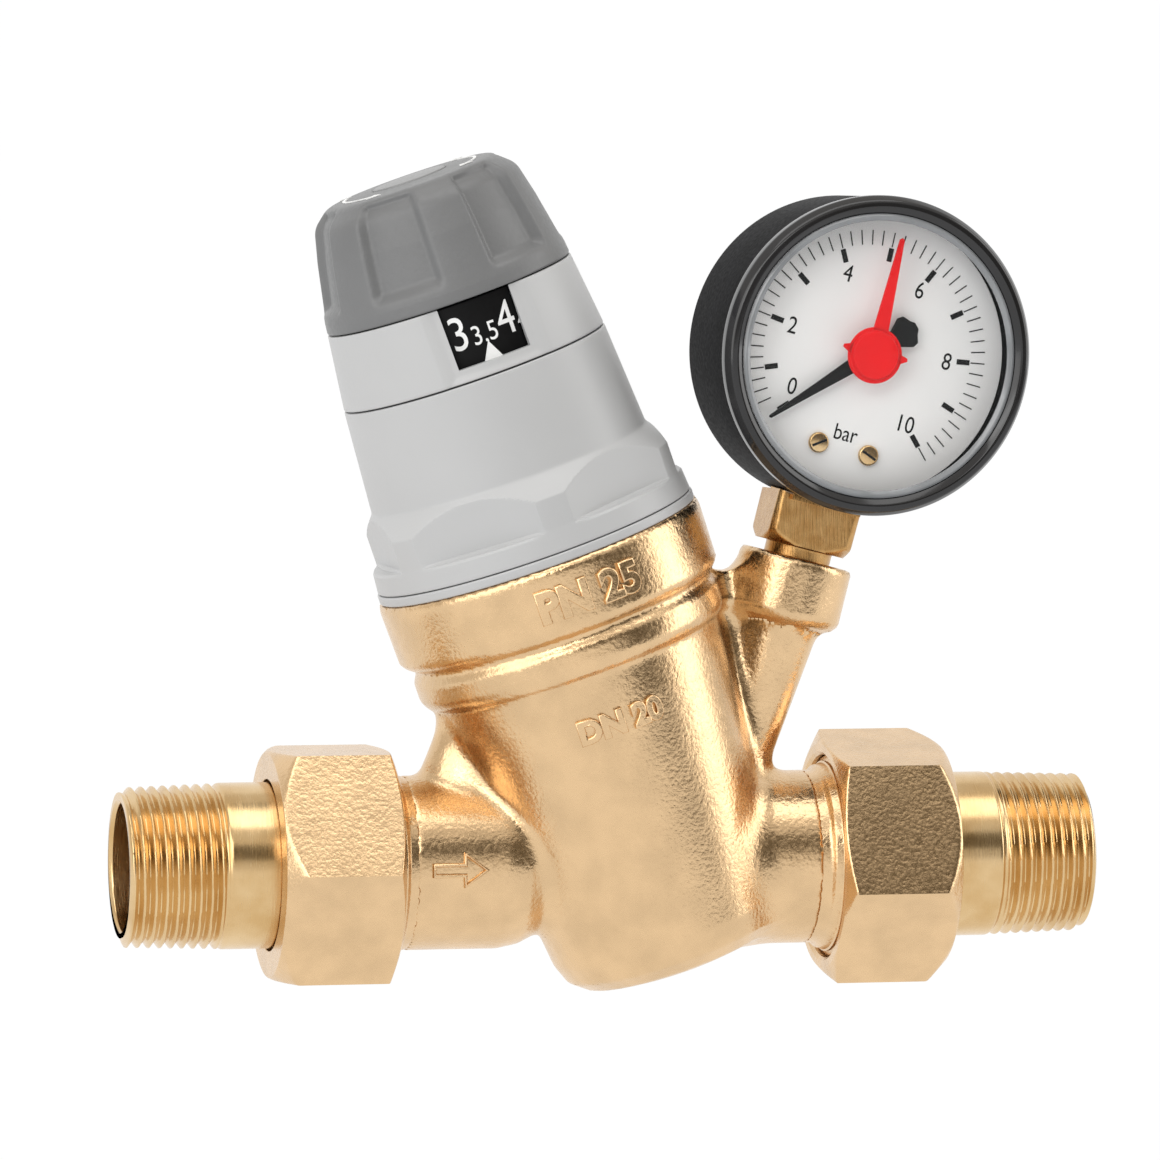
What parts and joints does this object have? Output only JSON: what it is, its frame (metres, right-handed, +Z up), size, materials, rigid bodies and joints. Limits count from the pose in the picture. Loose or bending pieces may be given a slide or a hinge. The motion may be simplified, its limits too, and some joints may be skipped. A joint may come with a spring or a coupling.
{
  "type": "pressure reducing valve",
  "caption": "Spring-loaded pressure reducing valve with sloped cartridge cup, scale window and knob, union nuts, taper-threaded tails and a round dial pressure gauge.",
  "frame": {"origin": "centre of the inlet tailpiece's bore at its end face", "axes": "+X along the pipe in the flow direction, towards the outlet; +Z up, away from the cup's closed end; the dial and window face -Y"},
  "size_m": [0.16, 0.0548, 0.1354],
  "materials": {
    "cast_brass": "sandblasted forging",
    "turned_brass": "turned, with fine tool marks",
    "stainless_steel": "turned",
    "spring_steel": "drawn wire",
    "light_grey_plastic": "moulded, satin",
    "dark_grey_plastic": "moulded, satin",
    "insert_grey_plastic": "moulded, satin",
    "black_drum_plastic": "moulded, printed scale",
    "strainer_plastic": "moulded",
    "gauge_case_plastic": "moulded, lightly grained",
    "gauge_bezel_plastic": "moulded, polished",
    "clear_plastic": "clear",
    "dial_enamel": "printed dial",
    "pointer_black": "painted",
    "set_hand_red": "moulded, glossy",
    "rubber_seal": "moulded",
    "fibre_gasket": "cut fibre sheet"
  },
  "bodies": {
    "valve_body": {"body_casting": "cast_brass", "seat_ring": "stainless_steel", "cartridge_sleeve": "turned_brass", "cartridge_o_ring": "rubber_seal", "stem_o_ring": "rubber_seal", "strainer_frame": "strainer_plastic", "strainer_mesh": "stainless_steel", "diaphragm": "rubber_seal", "slip_ring": "stainless_steel", "main_spring": "spring_steel", "cartridge_flange_ring": "light_grey_plastic", "bonnet": "light_grey_plastic", "window_ring": "light_grey_plastic", "gauge_stem": "turned_brass", "gauge_case": "gauge_case_plastic", "bezel_ring": "gauge_bezel_plastic", "gauge_window": "clear_plastic", "gauge_dial": "dial_enamel", "dial_screws": "turned_brass", "bourdon_tube": "turned_brass", "tube_link": "turned_brass", "movement_frame": "turned_brass"},
    "plug_stem": {"valve_stem": "stainless_steel", "valve_plug": "turned_brass", "plug_seal": "rubber_seal", "plug_nut": "turned_brass", "lower_diaphragm_plate": "turned_brass", "upper_diaphragm_plate": "turned_brass", "diaphragm_nut": "stainless_steel"},
    "knob_set": {"knob": "dark_grey_plastic", "knob_insert": "insert_grey_plastic", "knob_screw": "stainless_steel", "scale_drum": "black_drum_plastic", "adjusting_spindle": "stainless_steel"},
    "spring_nut": {"adjusting_nut": "turned_brass"},
    "inlet_tail": {"inlet_tailpiece": "turned_brass", "inlet_gasket": "fibre_gasket"},
    "inlet_nut": {"inlet_union_nut": "cast_brass"},
    "outlet_tail": {"outlet_tailpiece": "turned_brass", "outlet_gasket": "fibre_gasket"},
    "outlet_nut": {"outlet_union_nut": "cast_brass"},
    "gauge_pointer": {"pointer": "pointer_black", "pinion": "turned_brass"},
    "gauge_sector": {"sector_gear": "turned_brass"},
    "gauge_set_hand": {"set_hand": "set_hand_red"}
  },
  "joints": [
    {"name": "knob_turn", "type": "hinge", "parent": "valve_body", "child": "knob_set", "pos_m": [0.06867, 0, 0.05062], "axis": [-0.3338, 0, 0.9426], "range_deg": [-60, 60]},
    {"name": "spring_nut_slide", "type": "slide", "parent": "valve_body", "child": "spring_nut", "axis": [-0.3338, 0, 0.9426], "range_m": [-0.0031, 0.0031]},
    {"name": "plug_slide", "type": "slide", "parent": "valve_body", "child": "plug_stem", "axis": [-0.3338, 0, 0.9426], "range_m": [0, 0.0024], "stiffness_N_per_m": 9000, "springref_m": -0.0006, "deforming": ["diaphragm", "main_spring"]},
    {"name": "inlet_tail_slide", "type": "slide", "parent": "valve_body", "child": "inlet_tail", "axis": [-1, 0, 0], "range_m": [0, 0.0128]},
    {"name": "inlet_nut_turn", "type": "hinge", "parent": "inlet_tail", "child": "inlet_nut", "pos_m": [0.034, 0, 0], "axis": [-1, 0, 0], "range_deg": [0, 1980]},
    {"name": "outlet_tail_slide", "type": "slide", "parent": "valve_body", "child": "outlet_tail", "axis": [1, 0, 0], "range_m": [0, 0.0128]},
    {"name": "outlet_nut_turn", "type": "hinge", "parent": "outlet_tail", "child": "outlet_nut", "pos_m": [0.126, 0, 0], "axis": [1, 0, 0], "range_deg": [0, 1980]},
    {"name": "pointer_turn", "type": "hinge", "parent": "valve_body", "child": "gauge_pointer", "pos_m": [0.12083, 0, 0.08277], "axis": [-0.0759, 0.9969, 0.0198], "range_deg": [0, 270], "stiffness_Nm_per_rad": 0.0004, "springref_deg": -17.19, "deforming": ["bourdon_tube", "tube_link"]},
    {"name": "sector_turn", "type": "hinge", "parent": "valve_body", "child": "gauge_sector", "pos_m": [0.1324, 0.00094, 0.07974], "axis": [-0.0759, 0.9969, 0.0198], "range_deg": [-30.2, 0.2]},
    {"name": "set_hand_turn", "type": "hinge", "parent": "valve_body", "child": "gauge_set_hand", "pos_m": [0.12083, 0, 0.08277], "axis": [-0.0759, 0.9969, 0.0198], "range_deg": [-132.8, 137.2]}
  ],
  "couplings": [
    {"joint": "spring_nut_slide", "follows": "knob_turn", "m_per_rad": 0.002865},
    {"joint": "inlet_tail_slide", "follows": "inlet_nut_turn", "m_per_rad": 0.00036749},
    {"joint": "outlet_tail_slide", "follows": "outlet_nut_turn", "m_per_rad": 0.00036749},
    {"joint": "sector_turn", "follows": "pointer_turn", "ratio": -0.11111}
  ]
}
